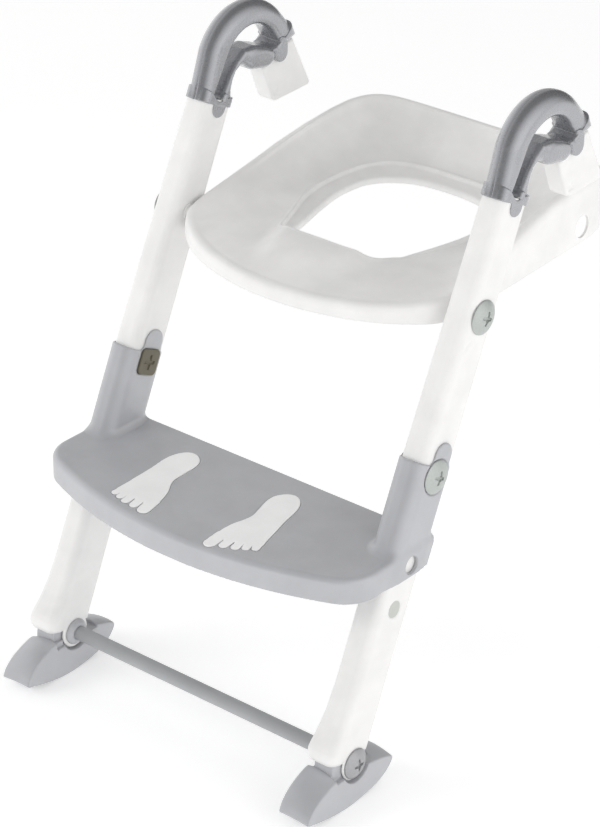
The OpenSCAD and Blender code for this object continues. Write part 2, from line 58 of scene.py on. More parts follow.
MM = 0.001
SIDES = {"left": -1, "right": 1}
COARSE = 1.0

# ---------------------------------------------------------------- places taken from the record

JOINTS = {j["name"]: j for j in frame["record"]["behaviour"]["joints"]}
RAIL_X, PIVOT_Y, PIVOT_Z = [c / MM for c in JOINTS["foot_right_tilt"]["pos_m"]]
SLIDE = JOINTS["leg_height"]["axis"]
LEAN = math.atan2(SLIDE[1], SLIDE[2])
SIN, COS = math.sin(LEAN), math.cos(LEAN)


def box_mm(node):
    """Lowest and highest corner of a CAD node, in millimetres."""
    low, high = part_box(node)
    return np.array(low) / MM, np.array(high) / MM


def along_rail(y, z):
    """(v, u) of a point: v to the rear across the rail, u up along it, from the foot hinge."""
    dy, dz = y - PIVOT_Y, z - PIVOT_Z
    return dy * COS - dz * SIN, dy * SIN + dz * COS


SEAT_V, SEAT_U = along_rail(*[c / MM for c in JOINTS["seat_fold"]["pos_m"][1:]])

# sections of the rails and legs; u runs from the foot hinge up along the rail
RAIL_W, RAIL_D, LEG_D, RAIL_R, WALL = 30.0, 42.0, 51.0, 9.0, 2.5
RAIL_BACK = 18.0
RAIL_FOOT, RAIL_TOP = 270.0, 561.8
COLLAR_U = 556.0
TAPER = math.tan(math.radians(1.5))
LEG_TOP, TONGUE_TOP, TONGUE_GAP = 222.0, 345.0, 0.3
LEG_TRAVEL = 46.0

# clamp screw, index hole and hinge bores that cross the rails
SCREW_V, SCREW_U, SCREW_HOLE_R, SLOT_R = -6.5, 289.0, 4.15, 4.3
INDEX_V, INDEX_U, INDEX_R, MARK_DEPTH = -8.0, 202.0, 9.0, 1.5
HINGE_HOLE_R = 5.05

# columns of the step, and the round knobs
COLUMN_G = 2.5
COLUMN_X = RAIL_W / 2 + COLUMN_G
KNOB_R, KNOB_H, CLAMP_KNOB_H = 17.5, 7.0, 6.0
SINK = 1.3  # depth of the wells round the clamp knobs
RIM_H = 1.3  # thickness of a knob at its rim

# ---------------------------------------------------------------- distance fields


def hyp(a, b):
    """Length of (a, b)."""
    return np.sqrt(a * a + b * b)


def meet(a, b, r):
    """Intersection of two fields, its edge rounded to radius r."""
    if np.all(r == 0):
        return np.maximum(a, b)
    return np.minimum(-r, np.maximum(a, b)) + hyp(np.maximum(r + a, 0), np.maximum(r + b, 0))


def join(a, b, r):
    """Union of two fields, the corner between them filled to radius r."""
    if r <= 0:
        return np.minimum(a, b)
    return np.maximum(r, np.minimum(a, b)) - hyp(np.maximum(r - a, 0), np.maximum(r - b, 0))


def cut(a, b, r=0.0):
    """Field a without field b, the new edge rounded to radius r."""
    return meet(a, -b, r)


def blend_in(low, high, value):
    """Smooth step from 0 at low to 1 at high."""
    t = np.clip((value - low) / (high - low), 0, 1)
    return t * t * (3 - 2 * t)


def rect(a, b, half_a, half_b, r):
    """Rectangle about the origin with corners of radius r."""
    qa, qb = np.abs(a) - (half_a - r), np.abs(b) - (half_b - r)
    return hyp(np.maximum(qa, 0), np.maximum(qb, 0)) + np.minimum(np.maximum(qa, qb), 0) - r


def span(a, low, high):
    """Slab between low and high."""
    return np.abs(a - (low + high) / 2) - (high - low) / 2


def capsule(a, b, p, q, r0, r1):
    """Round-ended bar in a plane from p (radius r0) to q (radius r1)."""
    ea, eb = q[0] - p[0], q[1] - p[1]
    t = np.clip(((a - p[0]) * ea + (b - p[1]) * eb) / (ea * ea + eb * eb), 0, 1)
    return hyp(a - p[0] - ea * t, b - p[1] - eb * t) - (r0 + (r1 - r0) * t)


def outline(a, b, points):
    """Closed polygon through the points."""
    near = np.float32(1e9)
    inside = np.zeros(np.broadcast(a, b).shape, bool)
    for p, q in zip(points, points[1:] + points[:1]):
        ea, eb = q[0] - p[0], q[1] - p[1]
        wa, wb = a - p[0], b - p[1]
        t = np.clip((wa * ea + wb * eb) / (ea * ea + eb * eb + 1e-12), 0, 1)
        near = np.minimum(near, (wa - ea * t) ** 2 + (wb - eb * t) ** 2)
        if eb:
            inside ^= ((p[1] <= b) != (q[1] <= b)) & (a < p[0] + wb * (ea / eb))
    return np.where(inside, -1, 1) * np.sqrt(near)


def smooth(points, steps=5):
    """Closed smooth curve through the points."""
    n, out = len(points), []
    for i in range(n):
        a, b, c, d = (np.array(points[(i + k) % n], float) for k in (-1, 0, 1, 2))
        for j in range(steps):
            t = j / steps
            q = 0.5 * (2 * b + (c - a) * t + (2 * a - 5 * b + 4 * c - d) * t * t
                       + (3 * b - a - 3 * c + d) * t ** 3)
            out.append((float(q[0]), float(q[1])))
    return out


def arc(centre, r, a0, a1, n):
    """Points of an arc between two angles in degrees."""
    return [(centre[0] + r * math.cos(math.radians(a0 + (a1 - a0) * i / n)),
             centre[1] + r * math.sin(math.radians(a0 + (a1 - a0) * i / n))) for i in range(n + 1)]


# ---------------------------------------------------------------- meshing


def linked(name, data):
    """A new object with its data, put in the scene."""
    obj = bpy.data.objects.new(name, data)
    bpy.context.scene.collection.objects.link(obj)
    return obj


def mesh_object(name, points, faces):
    """A smooth-shaded mesh object from points in millimetres."""
    mesh = bpy.data.meshes.new(name)
    size = faces.shape[1]
    mesh.vertices.add(len(points))
    mesh.vertices.foreach_set("co", (points * MM).astype(np.float32).ravel())
    mesh.loops.add(faces.size)
    mesh.loops.foreach_set("vertex_index", faces.astype(np.int32).ravel())
    mesh.polygons.add(len(faces))
    mesh.polygons.foreach_set("loop_start", np.arange(0, faces.size, size, dtype=np.int32))
    mesh.update(calc_edges=True)
    mesh.validate()
    mesh.shade_smooth()
    return linked(name, mesh)


def carve(field, low, high, step):
    """Points (mm) and quads of the zero surface of field(x, y, z) within the box low..high."""
    step = step * COARSE
    axes = [np.arange(l - 3 * step, h + 3.5 * step, step, dtype=np.float32)
            for l, h in zip(low, high)]
    x, y, z = np.ix_(*axes)
    shape = tuple(len(a) for a in axes)
    values = np.clip(np.broadcast_to(field(x, y, z), shape) / step, -3, 3).astype(np.float32)
    grid = vdb.FloatGrid(3.0)
    grid.copyFromArray(np.ascontiguousarray(values))
    points, quads = grid.convertToQuads(0.0)
    points = points * step + np.array([a[0] for a in axes])
    return points, orient(points, quads)


def orient(points, quads):
    """The quads, turned so that their normals point outwards."""
    p = [points[quads[:, k]] for k in range(4)]
    volume = (np.einsum("ij,ij->", p[0], np.cross(p[1], p[2]))
              + np.einsum("ij,ij->", p[0], np.cross(p[2], p[3])))
    return quads if volume > 0 else quads[:, ::-1]


def stack(*parts):
    """Several (points, quads) meshes as one."""
    points, quads, count = [], [], 0
    for p, q in parts:
        points.append(p)
        quads.append(q + count)
        count += len(p)
    return np.concatenate(points), np.concatenate(quads)


def on_rail(part, side):
    """Rail coordinates (x outwards, v, u) to world millimetres."""
    points, quads = part
    x, v, u = points.T
    world = np.stack([side * (RAIL_X + x), PIVOT_Y + v * COS + u * SIN,
                      PIVOT_Z - v * SIN + u * COS], axis=1)
    return world, quads if side > 0 else quads[:, ::-1]


def at_foot(part, side):
    """Foot coordinates (x outwards, y, z from the hinge) to world millimetres."""
    points, quads = part
    x, y, z = points.T
    world = np.stack([side * (RAIL_X + x), PIVOT_Y + y, PIVOT_Z + z], axis=1)
    return world, quads if side > 0 else quads[:, ::-1]


def piece(name, part, material, body, node):
    """Makes the object that stands for a CAD node, with its finish, and hangs it on its body."""
    obj = mesh_object(name, *part)
    obj.data.materials.append(material)
    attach(obj, body)
    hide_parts(node)


def both_sides(place, part):
    """The part placed on the left and on the right, as one mesh."""
    return stack(place(part, -1), place(part, 1))


# ---------------------------------------------------------------- materials


class Nodes:
    """Short-hand for building the node tree of a material or a world."""

    def __init__(self, owner, shader="Principled BSDF", coordinates="Object"):
        owner.use_nodes = True
        self.tree = owner.node_tree
        self.shader = self.tree.nodes[shader]
        self.position = self.add("ShaderNodeTexCoord").outputs[coordinates]

    def add(self, kind, **settings):
        node = self.tree.nodes.new(kind)
        for key, value in settings.items():
            if key in node.inputs:
                node.inputs[key].default_value = value
            else:
                setattr(node, key, value)
        return node

    def link(self, output, target):
        self.tree.links.new(output, target)

    def noise(self, scale, detail=3.0, rough=0.55):
        node = self.add("ShaderNodeTexNoise", Scale=scale, Detail=detail, Roughness=rough)
        self.link(self.position, node.inputs["Vector"])
        return node.outputs["Fac"]

    def remap(self, value, low, high, out_low=0.0, out_high=1.0):
        node = self.add("ShaderNodeMapRange")
        for key, number in zip(("From Min", "From Max", "To Min", "To Max"),
                               (low, high, out_low, out_high)):
            node.inputs[key].default_value = number
        self.link(value, node.inputs["Value"])
        return node.outputs["Result"]

    def mix(self, factor, a, b):
        node = self.add("ShaderNodeMix", data_type="RGBA")
        self.link(factor, node.inputs["Factor"])
        for key, colour in (("A", a), ("B", b)):
            target = [s for s in node.inputs if s.name == key and s.type == "RGBA"][0]
            if isinstance(colour, bpy.types.NodeSocket):
                self.link(colour, target)
            else:
                target.default_value = (*colour, 1)
        return [s for s in node.outputs if s.type == "RGBA"][0]

    def bump(self, height, strength, distance):
        node = self.add("ShaderNodeBump", Strength=strength, Distance=distance)
        self.link(height, node.inputs["Height"])
        return node.outputs["Normal"]


def moulded(name, colour, roughness, grain=0.12, mottle=0.03, wear=0.05, coat=0.0, pearl=0.0):
    """Injection-moulded plastic: fine spark-eroded grain, faint flow mottling, rubbed edges."""
    material = bpy.data.materials.new(name)
    n = Nodes(material)
    colour = np.array(colour)
    mottled = n.mix(n.remap(n.noise(28, 4), 0.35, 0.65),
                    colour * (1 - mottle), np.minimum(colour * (1 + mottle), 1))
    edges = n.add("ShaderNodeNewGeometry").outputs["Pointiness"]
    worn = n.mix(n.remap(edges, 0.52, 0.62, 0, wear * 6), mottled, np.minimum(colour * 1.25, 1))
    n.link(worn, n.shader.inputs["Base Color"])
    n.link(n.remap(n.noise(160, 5), 0.3, 0.7, roughness - 0.05, roughness + 0.06),
           n.shader.inputs["Roughness"])
    n.link(n.bump(n.noise(2600, 2), grain, 0.0002), n.shader.inputs["Normal"])
    n.shader.inputs["IOR"].default_value = 1.49
    n.shader.inputs["Coat Weight"].default_value = coat
    n.shader.inputs["Coat Roughness"].default_value = 0.25
    n.shader.inputs["Metallic"].default_value = pearl
    return material


def turned_metal(name, colour, roughness):
    """Dull grey metal, unevenly polished, with faint specks."""
    material = bpy.data.materials.new(name)
    n = Nodes(material)
    colour = np.array(colour)
    specks = n.mix(n.remap(n.noise(900, 4), 0.4, 0.75), colour, colour * 0.86)
    n.link(specks, n.shader.inputs["Base Color"])
    n.link(n.remap(n.noise(400, 4), 0.3, 0.7, roughness - 0.08, roughness + 0.1),
           n.shader.inputs["Roughness"])
    n.link(n.bump(n.noise(1500, 3), 0.1, 0.0002), n.shader.inputs["Normal"])
    n.shader.inputs["Metallic"].default_value = 0.55
    return material


GREY = moulded("grey_plastic", (0.49, 0.495, 0.515), 0.4, pearl=0.15, coat=0.15)
GRIP = moulded("grip_plastic", (0.37, 0.375, 0.395), 0.27, grain=0.02, wear=0.0, coat=1.0,
               pearl=0.55)
WHITE = moulded("white_plastic", (0.865, 0.86, 0.85), 0.42)
INLAY = moulded("inlay_plastic", (0.95, 0.95, 0.945), 0.5, grain=0.15)
OLIVE = moulded("olive_plastic", (0.14, 0.125, 0.085), 0.45, wear=0.1)
RUBBER = moulded("rubber", (0.2, 0.2, 0.205), 0.75, grain=0.5, mottle=0.08)
ROD = moulded("rod_paint", (0.42, 0.43, 0.44), 0.5, pearl=0.25)
KNOB = turned_metal("knob_metal", (0.52, 0.55, 0.53), 0.42)
STEEL = turned_metal("steel", (0.44, 0.44, 0.455), 0.4)
# greyish colour for the disc in the leg's index recess: painted shade, darker than the white leg
MARK_SHADE = moulded("index_mark_shade", (0.55, 0.57, 0.53), 0.5)

# ---------------------------------------------------------------- rails and legs


def section(x, v, depth, grow, r=RAIL_R):
    """Rounded rail section of the given depth, its back on the rail's back line."""
    return rect(x, v - RAIL_BACK + depth / 2, RAIL_W / 2 + grow, depth / 2 + grow, r + grow)


def rail_section(x, v, u, grow=0.0):
    """Section of the rail, which is deeper towards the step."""
    return section(x, v, RAIL_D + (COLLAR_U - u) * TAPER, grow)


def rail_field(x, v, u):
    body = meet(rail_section(x, v, u), span(u, RAIL_FOOT, RAIL_TOP), 0.6)
    body = cut(body, rail_section(x, v, u, -WALL), 0.3)
    body = cut(body, hyp(v - SCREW_V, u - SCREW_U) - SCREW_HOLE_R)
    # small moulded notch in front of the seat screw, on the outer face
    notch = outline(v, u, [(-20, 418), (-11, 424), (-12.5, 417), (-17, 411)])
    body = cut(body, np.maximum(notch, RAIL_W / 2 - 0.7 - x), 0.3)
    return cut(body, hyp(v - SEAT_V, u - SEAT_U) - HINGE_HOLE_R)


LEG_FRONT = [(-33, 70), (-34, 52), (-35.8, 36), (-38.6, 23), (-41.8, 13), (-42.8, 7), (-42.2, 2),
             (-40, -1.6), (-36.5, -4), (-32, -5)]
LEG_SIDE = ([(RAIL_BACK, LEG_TOP), (RAIL_BACK - LEG_D, LEG_TOP)] + LEG_FRONT
            + [(-20, -5), (-12, 0), (0, 10), (RAIL_BACK, 10)])
EAR_R, EAR_T = 17.5, 3.0
MARK_U = INDEX_U - LEG_TRAVEL


def leg_field(x, v, u):
    # the front corners swell sideways over the foot, and are rounder inside the step
    swell = 2.2 * np.interp(u, (-6, 0, 8, 20, 50), (0.3, 0.8, 1, 0.75, 0)) * blend_in(18, 34, -v)
    corner = RAIL_R - 1 + 1.3 * blend_in(50, 90, u)
    body = meet(outline(v, u, LEG_SIDE), np.abs(x) - RAIL_W / 2 - swell, corner)
    ears = meet(hyp(v, u) - EAR_R, span(np.abs(x), RAIL_W / 2 - EAR_T, RAIL_W / 2), 0.8)
    body = join(body, ears, 0.5)
    inside = -WALL - TONGUE_GAP
    tongue = meet(section(x, v, RAIL_D, inside), span(u, LEG_TOP - 12, TONGUE_TOP), 0.6)
    body = join(body, tongue, 0.5)
    hollow = np.maximum(section(x, v, LEG_D, -EAR_T), span(u, 20, LEG_TOP - 14))
    core = np.maximum(section(x, v, RAIL_D, inside - WALL), span(u, 20, 360))
    fork = np.maximum(np.maximum(np.abs(x) - (RAIL_W / 2 - EAR_T), -30 - v), span(u, -60, 24))
    body = cut(cut(cut(body, hollow), core), fork, 0.3)
    slot = capsule(v, u, (SCREW_V, SCREW_U - LEG_TRAVEL), (SCREW_V, SCREW_U), SLOT_R, SLOT_R)
    mark = np.maximum(hyp(v - INDEX_V, u - MARK_U) - INDEX_R,
                      RAIL_W / 2 - MARK_DEPTH - np.abs(x))
    body = cut(cut(body, slot, 0.3), mark, 0.4)
    # flat seats for the screw head and the rod's disc
    body = cut(body, np.maximum(hyp(v, u) - EAR_R, RAIL_W / 2 - np.abs(x)), 0.3)
    return cut(body, hyp(v, u) - HINGE_HOLE_R)


def mark_shade_field(x, v, u):
    """Disc on the floor of the shallow index recess, tinted darker: painted shade inside the
    recess.
    """
    floor = RAIL_W / 2 - MARK_DEPTH
    disc = hyp(v - INDEX_V, u - MARK_U) - INDEX_R + 0.1
    return np.maximum(disc, span(np.abs(x), floor - 0.1, floor + 0.5))


rail_part = carve(rail_field, (-16, -33, RAIL_FOOT - 1), (16, 19, RAIL_TOP + 1), 1.0)
leg_part = carve(leg_field, (-18, -44, -18), (16, 19, TONGUE_TOP + 1), 1.0)
mark_shade_part = carve(mark_shade_field, (-16, INDEX_V - 10, MARK_U - 10), (16, INDEX_V + 10, MARK_U + 10),
                  0.3)
for word, side in SIDES.items():
    # a disc in each leg's index recess, tinted darker: painted shade
    piece(f"index_mark_shade_{word}", on_rail(mark_shade_part, side), MARK_SHADE, "legs",
          f"leg_{word}")
    piece(f"upright_{word}", on_rail(rail_part, side), WHITE, "frame",
          f"rail_{word}")
    piece(f"lower_leg_{word}", on_rail(leg_part, side), WHITE, "legs",
          f"leg_{word}")

# ---------------------------------------------------------------- step with its two columns

STEP_LOW, STEP_HIGH = box_mm("step")
TREAD_Z, SKIRT_H, STEP_HALF = 245.0, 27.0, 201.5
TREAD_T, SKIRT_T = 3.5, 3.0
SKIRT_Z = TREAD_Z - SKIRT_H
FRONT_Y, REAR_Y = PIVOT_Y - 45, PIVOT_Y + 118
BOW_R, CORNER_R = 458.0, 38.0
BOW_Y = FRONT_Y + BOW_R
CORNER_X = STEP_HALF - CORNER_R
CORNER_Y = BOW_Y - math.sqrt((BOW_R - CORNER_R) ** 2 - CORNER_X ** 2)
CORNER_A = math.degrees(math.atan2(CORNER_X, BOW_Y - CORNER_Y))
TREAD = (arc((0, BOW_Y), BOW_R, -90 - CORNER_A, -90 + CORNER_A, 40)
         + arc((CORNER_X, CORNER_Y), CORNER_R, -90 + CORNER_A, 0, 14)
         + [(STEP_HALF, REAR_Y), (-STEP_HALF, REAR_Y)]
         + arc((-CORNER_X, CORNER_Y), CORNER_R, -180, -90 - CORNER_A, 14))
RIB_PITCH, RIB_RISE = 40.0, 10.0
SOCKET_GAP = 0.25

NUT_HALF, NUT_BACK, NUT_FACE = 13.5, -16.6, -19.6

PRINT_LEAN, PRINT_GAP, PRINT_SINK = math.radians(8.5), 0.25, 1.0
PRINTS = {"left": (-72.0, -168.0), "right": (58.0, -168.0)}
SOLE = smooth([(4, 61), (-3, 61), (-9.5, 57), (-15, 49), (-16.3, 38), (-14.5, 22), (-13, 8),
               (-15.5, -3), (-21, -16), (-24, -31), (-23.5, -41), (-14, -45), (-6, -44),
               (4, -43.5), (13, -42), (21, -40), (25.5, -36), (24, -25), (22, -5), (19.8, 14),
               (18.8, 34), (16.5, 46), (11, 56)])
TOES = [((-18.5, -38), (-20, -57), 7.0, 6.6), ((-6.4, -43), (-6.7, -54), 5.2, 4.8),
        ((4.2, -43), (4.9, -51.4), 4.5, 4.5), ((13, -41), (14, -47.2), 4.1, 4.1),
        ((21.2, -38), (22.4, -43), 4.4, 4.1)]


def print_outline(x, y, word):
    """Distance to one footprint; the big toe is towards the middle of the step."""
    cx, cy = PRINTS[word]
    dx, dy = x - cx, y - cy
    px = dx * math.cos(PRINT_LEAN) + dy * math.sin(PRINT_LEAN)
    py = -dx * math.sin(PRINT_LEAN) + dy * math.cos(PRINT_LEAN)
    if word == "left":
        px = -px
    d = outline(px, py, SOLE)
    for p, q, r0, r1 in TOES:
        d = np.minimum(d, capsule(px, py, p, q, r0, r1))
    return d


def column_front(v, u):
    """Side outline of a column's top: collar line with the round tongue above it."""
    tongue = capsule(v, u, (-4.5, 296), (-4.5, 310), 13, 13)
    return join(u - 300, tongue, 6)


def nut_square(v, u, grow=0.0):
    """Square outline of the nut plate round the clamp screw."""
    return rect(v - SCREW_V, u - SCREW_U, NUT_HALF + grow, NUT_HALF + grow, 5)


def step_field(x, y, z):
    plate = meet(outline(x, y, TREAD), z - TREAD_Z, 6)
    plate = np.maximum(plate, SKIRT_Z - z)
    ax = np.abs(x)
    v, u = along_rail(y, z)
    rx = ax - RAIL_X
    column = section(rx, v, LEG_D, COLUMN_G, RAIL_R + 3)
    column = meet(column, column_front(v, u), 1.4)
    body = join(plate, column, 7)
    body = np.maximum(body, np.maximum(SKIRT_Z - z, v - RAIL_BACK - COLUMN_G))
    # hollow underside with its ribs, clear of the columns
    under = np.maximum(outline(x, y, TREAD) + SKIRT_T, z - TREAD_Z + TREAD_T)
    ribs = np.maximum(np.abs(x - RIB_PITCH * np.round(x / RIB_PITCH)) - 1, SKIRT_Z + RIB_RISE - z)
    ribs = np.maximum(ribs, ax - 3.2 * RIB_PITCH)
    under = np.maximum(np.maximum(under, -ribs), -section(rx, v, LEG_D, COLUMN_G))
    body = cut(body, under, 0.6)
    body = cut(body, np.maximum(section(rx, v, LEG_D, SOCKET_GAP), u - RAIL_FOOT), 0.6)
    body = cut(body, np.maximum(rail_section(rx, v, u, 0.2), RAIL_FOOT - 1 - u), 0.5)
    body = cut(body, hyp(v - SCREW_V, u - SCREW_U) - SCREW_HOLE_R)
    # chamfered index hole, screw recess outside and nut frame inside
    body = cut(body, hyp(v - INDEX_V, u - INDEX_U) - INDEX_R, 1.0)
    well = np.maximum(hyp(v - SCREW_V, u - SCREW_U) - KNOB_R - 0.9, COLUMN_X - SINK - rx)
    frame_cut = np.maximum(nut_square(v, u, 0.2), rx + COLUMN_X - 1)
    body = cut(cut(body, well, 0.4), frame_cut, 0.3)
    for word in SIDES:
        shape = print_outline(x, y, word) - PRINT_GAP
        body = cut(body, np.maximum(shape, TREAD_Z - PRINT_SINK - z))
    return body


step_part = carve(step_field, STEP_LOW, STEP_HIGH, 1.0)
piece("step_moulding", step_part, GREY, "frame", "step")


def print_field(word):
    def field(x, y, z):
        return meet(print_outline(x, y, word), span(z, TREAD_Z - PRINT_SINK, TREAD_Z + 0.6), 0.45)
    return field


for word in SIDES:
    cx, cy = PRINTS[word]
    low, high = (cx - 45, cy - 70, TREAD_Z - 1), (cx + 45, cy + 66, TREAD_Z + 1)
    part = carve(print_field(word), low, high, 0.7)
    piece(f"sole_print_{word}", part, INLAY, "frame", f"footprint_{word}")

# ---------------------------------------------------------------- handles

BEND, BEND_R, GRIP_T = (34.0, 603.0), 65.0, 24.0
GRIP_HALF, LOBE_HALF, COLLAR_HALF = 14.6, 15.2, 16.2
SLOT = (arc((-5.5, 568), 6.2, 180, 360, 10)
        + [(4, 589), (9, 604), (16, 616.5), (30, 623), (46, 624.5), (56, 624), (63, 627),
           (66, 632)]
        + arc(BEND, BEND_R - GRIP_T, 53, 178, 48))
BAND = ([(-26, COLLAR_U - 6), (-27.5, 570)] + arc(BEND, BEND_R, 178, 65, 60)
        + [(80, 653.5), (92, 643), (86, 637), (66, 618), (54, 614), (50, 619)]
        + arc(BEND, BEND_R - GRIP_T - 6, 48, 176, 48) + [(-3, 569), (-9, COLLAR_U - 6)])
INNER_BAR = ([(-9, COLLAR_U), (-4, 564), (0, 569), (3, 590), (8, 605), (16, 617), (30, 623),
              (50, 624), (61, 621), (66, 619), (64, 611), (55, 606), (42, 602), (25, 600),
              (17, 598), (13, 592), (12, 584), (13, 575), (17, 566), (18, COLLAR_U)])
BASE_ZONE = [(-40, COLLAR_U), (-40, 574), (-20, 568), (-12, 563), (-5, 560), (3, 562), (9, 566),
             (30, 568), (30, COLLAR_U)]
REAR_ZONE = [(100, 652), (80, 656), (73, 640), (66, 631), (57, 624), (50, 620), (40, 612),
             (60, 606), (66, 622), (86, 637)]
END_BLOCK = [(91, 638), (139, 599), (137, 595), (91, 571.5), (85, 573), (56, 601), (58, 606),
             (66, 618), (86, 635)]
END_W, END_GAP, POCKET = 22.0, 0.2, 1.2


def turned(a, b, along, across):
    """(a, b) in axes turned by the angle with this cosine and sine."""
    return a * along + b * across, b * along - a * across


def handle_field(x, v, u):
    ax = np.abs(x)
    line = outline(v, u, BAND)
    band = meet(line, ax - GRIP_HALF, 13.5)
    bar = meet(outline(v, u, INNER_BAR), ax - GRIP_HALF + 0.3, 7)
    a, b = turned(v - 44, u - 611, 0.97, 0.24)
    lobe = meet(rect(a, b, 20, 10.5, 10), ax - LOBE_HALF, 5)
    body = np.maximum(join(join(band, bar, 4), lobe, 6), COLLAR_U - u)
    # collar round the rail with a tongue down each side, and the collar at the rear end
    base = rect(x, v + 3.2, COLLAR_HALF, 23.2, 10)
    base = meet(base, outline(v, u, BASE_ZONE), 1)
    tongue = meet(capsule(v, u, (-3, 553.2), (-3, 562), 9.6, 10), ax - COLLAR_HALF, 1)
    rear = meet(meet(line - 1, ax - COLLAR_HALF, 11), outline(v, u, REAR_ZONE), 1)
    flap = meet(capsule(v, u, (72, 621), (69, 628), 9.5, 9.5), ax - COLLAR_HALF, 1)
    for collar in (base, tongue, rear, flap):
        body = join(body, collar, 0.6)
    body = cut(body, outline(v, u, SLOT), 4.5)
    # socket for the rail, and room for the end block behind the slot
    socket = np.maximum(section(x, v, RAIL_D, 0.2), u - RAIL_TOP - 0.2)
    block = np.maximum(outline(v, u, END_BLOCK) - END_GAP, ax - END_W / 2 - END_GAP)
    return cut(cut(body, socket, 0.3), block, 0.3)


def handle_half(sign):
    """Half of the handle; the joint is a groove at the base that closes up along the grip."""
    def field(x, v, u):
        groove = np.clip((580 - u) / 12, 0, 1)
        return meet(handle_field(x, v, u), 0.9 * groove - 0.75 - sign * x, 0.7 * groove + 0.02)
    return field


def end_field(x, v, u):
    block = meet(outline(v, u, END_BLOCK), np.abs(x) - END_W / 2, 3)
    a, b = turned(v - 88, u - 581, 0.76, 0.65)
    pocket = np.maximum(rect(a, b, 3.5, 3.5, 0.5), END_W / 2 - POCKET - np.abs(x))
    return cut(block, pocket, 0.4)


outer_part = carve(handle_half(1), (-1, -34, 536), (18, 100, 671), 0.65)
inner_part = carve(handle_half(-1), (-18, -34, 536), (1, 100, 671), 0.65)
end_part = carve(end_field, (-12, 50, 568), (12, 142, 642), 0.8)
for word, side in SIDES.items():
    piece(f"grip_outer_{word}", on_rail(outer_part, side), GRIP, "frame",
          f"handle_{word}_outer")
    piece(f"grip_inner_{word}", on_rail(inner_part, side), GRIP, "frame",
          f"handle_{word}_inner")
    piece(f"grip_end_{word}", on_rail(end_part, side), WHITE, "frame",
          f"handle_end_{word}")

# ---------------------------------------------------------------- screws, nuts and the tie rod


def cross(a, b, reach, width):
    """Four-armed driver recess."""
    arms = np.minimum(rect(a, b, reach, width, 0.6), rect(a, b, width, reach, 0.6))
    return join(arms, np.abs(a) + np.abs(b) - reach * 0.62, 0.4)


def domed_head(x, a, b, r, height):
    """Head of radius r on the plane x = 0, rising to its height at the middle."""
    d = hyp(a, b)
    top = (x - RIM_H - (height - RIM_H) * (1 - (d / r) ** 2)) * 0.85
    head = meet(meet(d - r, top, 0.7), -x, 0.3)
    depth = height - x
    recess = np.maximum(cross(a, b, r * 0.42, r * 0.095) + depth * 0.2, depth - 3.2)
    return cut(head, recess, 0.2)


def knob_field(height, shank_r, reach, v0, u0, x0):
    """Domed round knob on the outer face at x0, with a tapering cross recess, and its shank."""
    def field(x, v, u):
        d = hyp(v - v0, u - u0)
        head = domed_head(x - x0, v - v0, u - u0, KNOB_R, height)
        shank = np.maximum(d - shank_r, span(x, x0 - reach, x0 + 1))
        return np.minimum(head, shank)
    return field


CLAMP_X = COLUMN_X - SINK + 0.1
SEAT_KNOB_X = RAIL_W / 2 + 0.1
clamp_part = carve(
    knob_field(CLAMP_KNOB_H, 4, CLAMP_X + COLUMN_X - 1, SCREW_V, SCREW_U, CLAMP_X),
    (-17, SCREW_V - 18, SCREW_U - 18), (24, SCREW_V + 18, SCREW_U + 18), 0.5)
seat_knob = carve(
    knob_field(KNOB_H, 5, 63.1, SEAT_V, SEAT_U, SEAT_KNOB_X),
    (-50, SEAT_V - 18, SEAT_U - 18), (24, SEAT_V + 18, SEAT_U + 18), 0.5)


def nut_field(x, v, u):
    plate = meet(nut_square(v, u), span(x, NUT_FACE, NUT_BACK), 0.6)
    depth = x - NUT_FACE
    recess = np.maximum(cross(v - SCREW_V, u - SCREW_U, 7.5, 1.7), depth - 1.6)
    return cut(plate, recess, 0.3)


nut_part = carve(nut_field, (-20, -21, 275), (-16, 8, 303), 0.5)
piece("clamp_knobs", both_sides(on_rail, clamp_part), KNOB, "frame", "clamp_screws")
piece("seat_knobs", both_sides(on_rail, seat_knob), KNOB, "frame", "seat_screws")
piece("clamp_plates", both_sides(on_rail, nut_part), OLIVE, "frame", "clamp_nuts")

ROD_HALF = RAIL_X - RAIL_W / 2 - 0.1
SPIGOT_HALF = RAIL_X + RAIL_W / 2
FOOT_KNOB_R, FOOT_SCREW_R = 16.0, 3.0
ROD_R, SPIGOT_R, DISC_R, DISC_T = 7.5, 5.0, 14.0, 5.6


def rod_field(x, y, z):
    d = hyp(y, z)
    rod = meet(d - ROD_R, np.abs(x) - ROD_HALF, 0.6)
    return np.minimum(rod, meet(d - SPIGOT_R, np.abs(x) - SPIGOT_HALF, 0.4))


def disc_field(x, y, z):
    d = hyp(y, z)
    face = -RAIL_W / 2 - 0.3
    cone = (d - DISC_R - (x - face + 1.4) * 0.9) * 0.743
    disc = meet(meet(d - DISC_R, cone, 0.6), span(x, face - DISC_T, face), 0.5)
    return cut(disc, d - ROD_R - 0.05, 0.3)


def rod_screw_field(x, y, z):
    d = hyp(y, z)
    x0 = RAIL_W / 2 + 0.1
    head = domed_head(x - x0, y, z, FOOT_KNOB_R, KNOB_H)
    return np.minimum(head, np.maximum(d - FOOT_SCREW_R, span(x, x0 - 15, x0 + 1)))


rod_part = carve(rod_field, (-SPIGOT_HALF, -8, -8), (SPIGOT_HALF, 8, 8), 0.8)
disc_part = carve(disc_field, (-22, -15, -15), (-14, 15, 15), 0.6)
rod_screw_part = carve(rod_screw_field, (-1, -17, -17), (24, 17, 17), 0.5)
rod_points, rod_quads = rod_part
piece("cross_rod", (rod_points + (0, PIVOT_Y, PIVOT_Z), rod_quads), ROD, "legs",
      "tie_rod")
piece("cross_rod_discs", both_sides(at_foot, disc_part), GREY, "legs", "rod_discs")
piece("cross_rod_screws", both_sides(at_foot, rod_screw_part), STEEL, "legs",
      "rod_screws")

# ---------------------------------------------------------------- feet

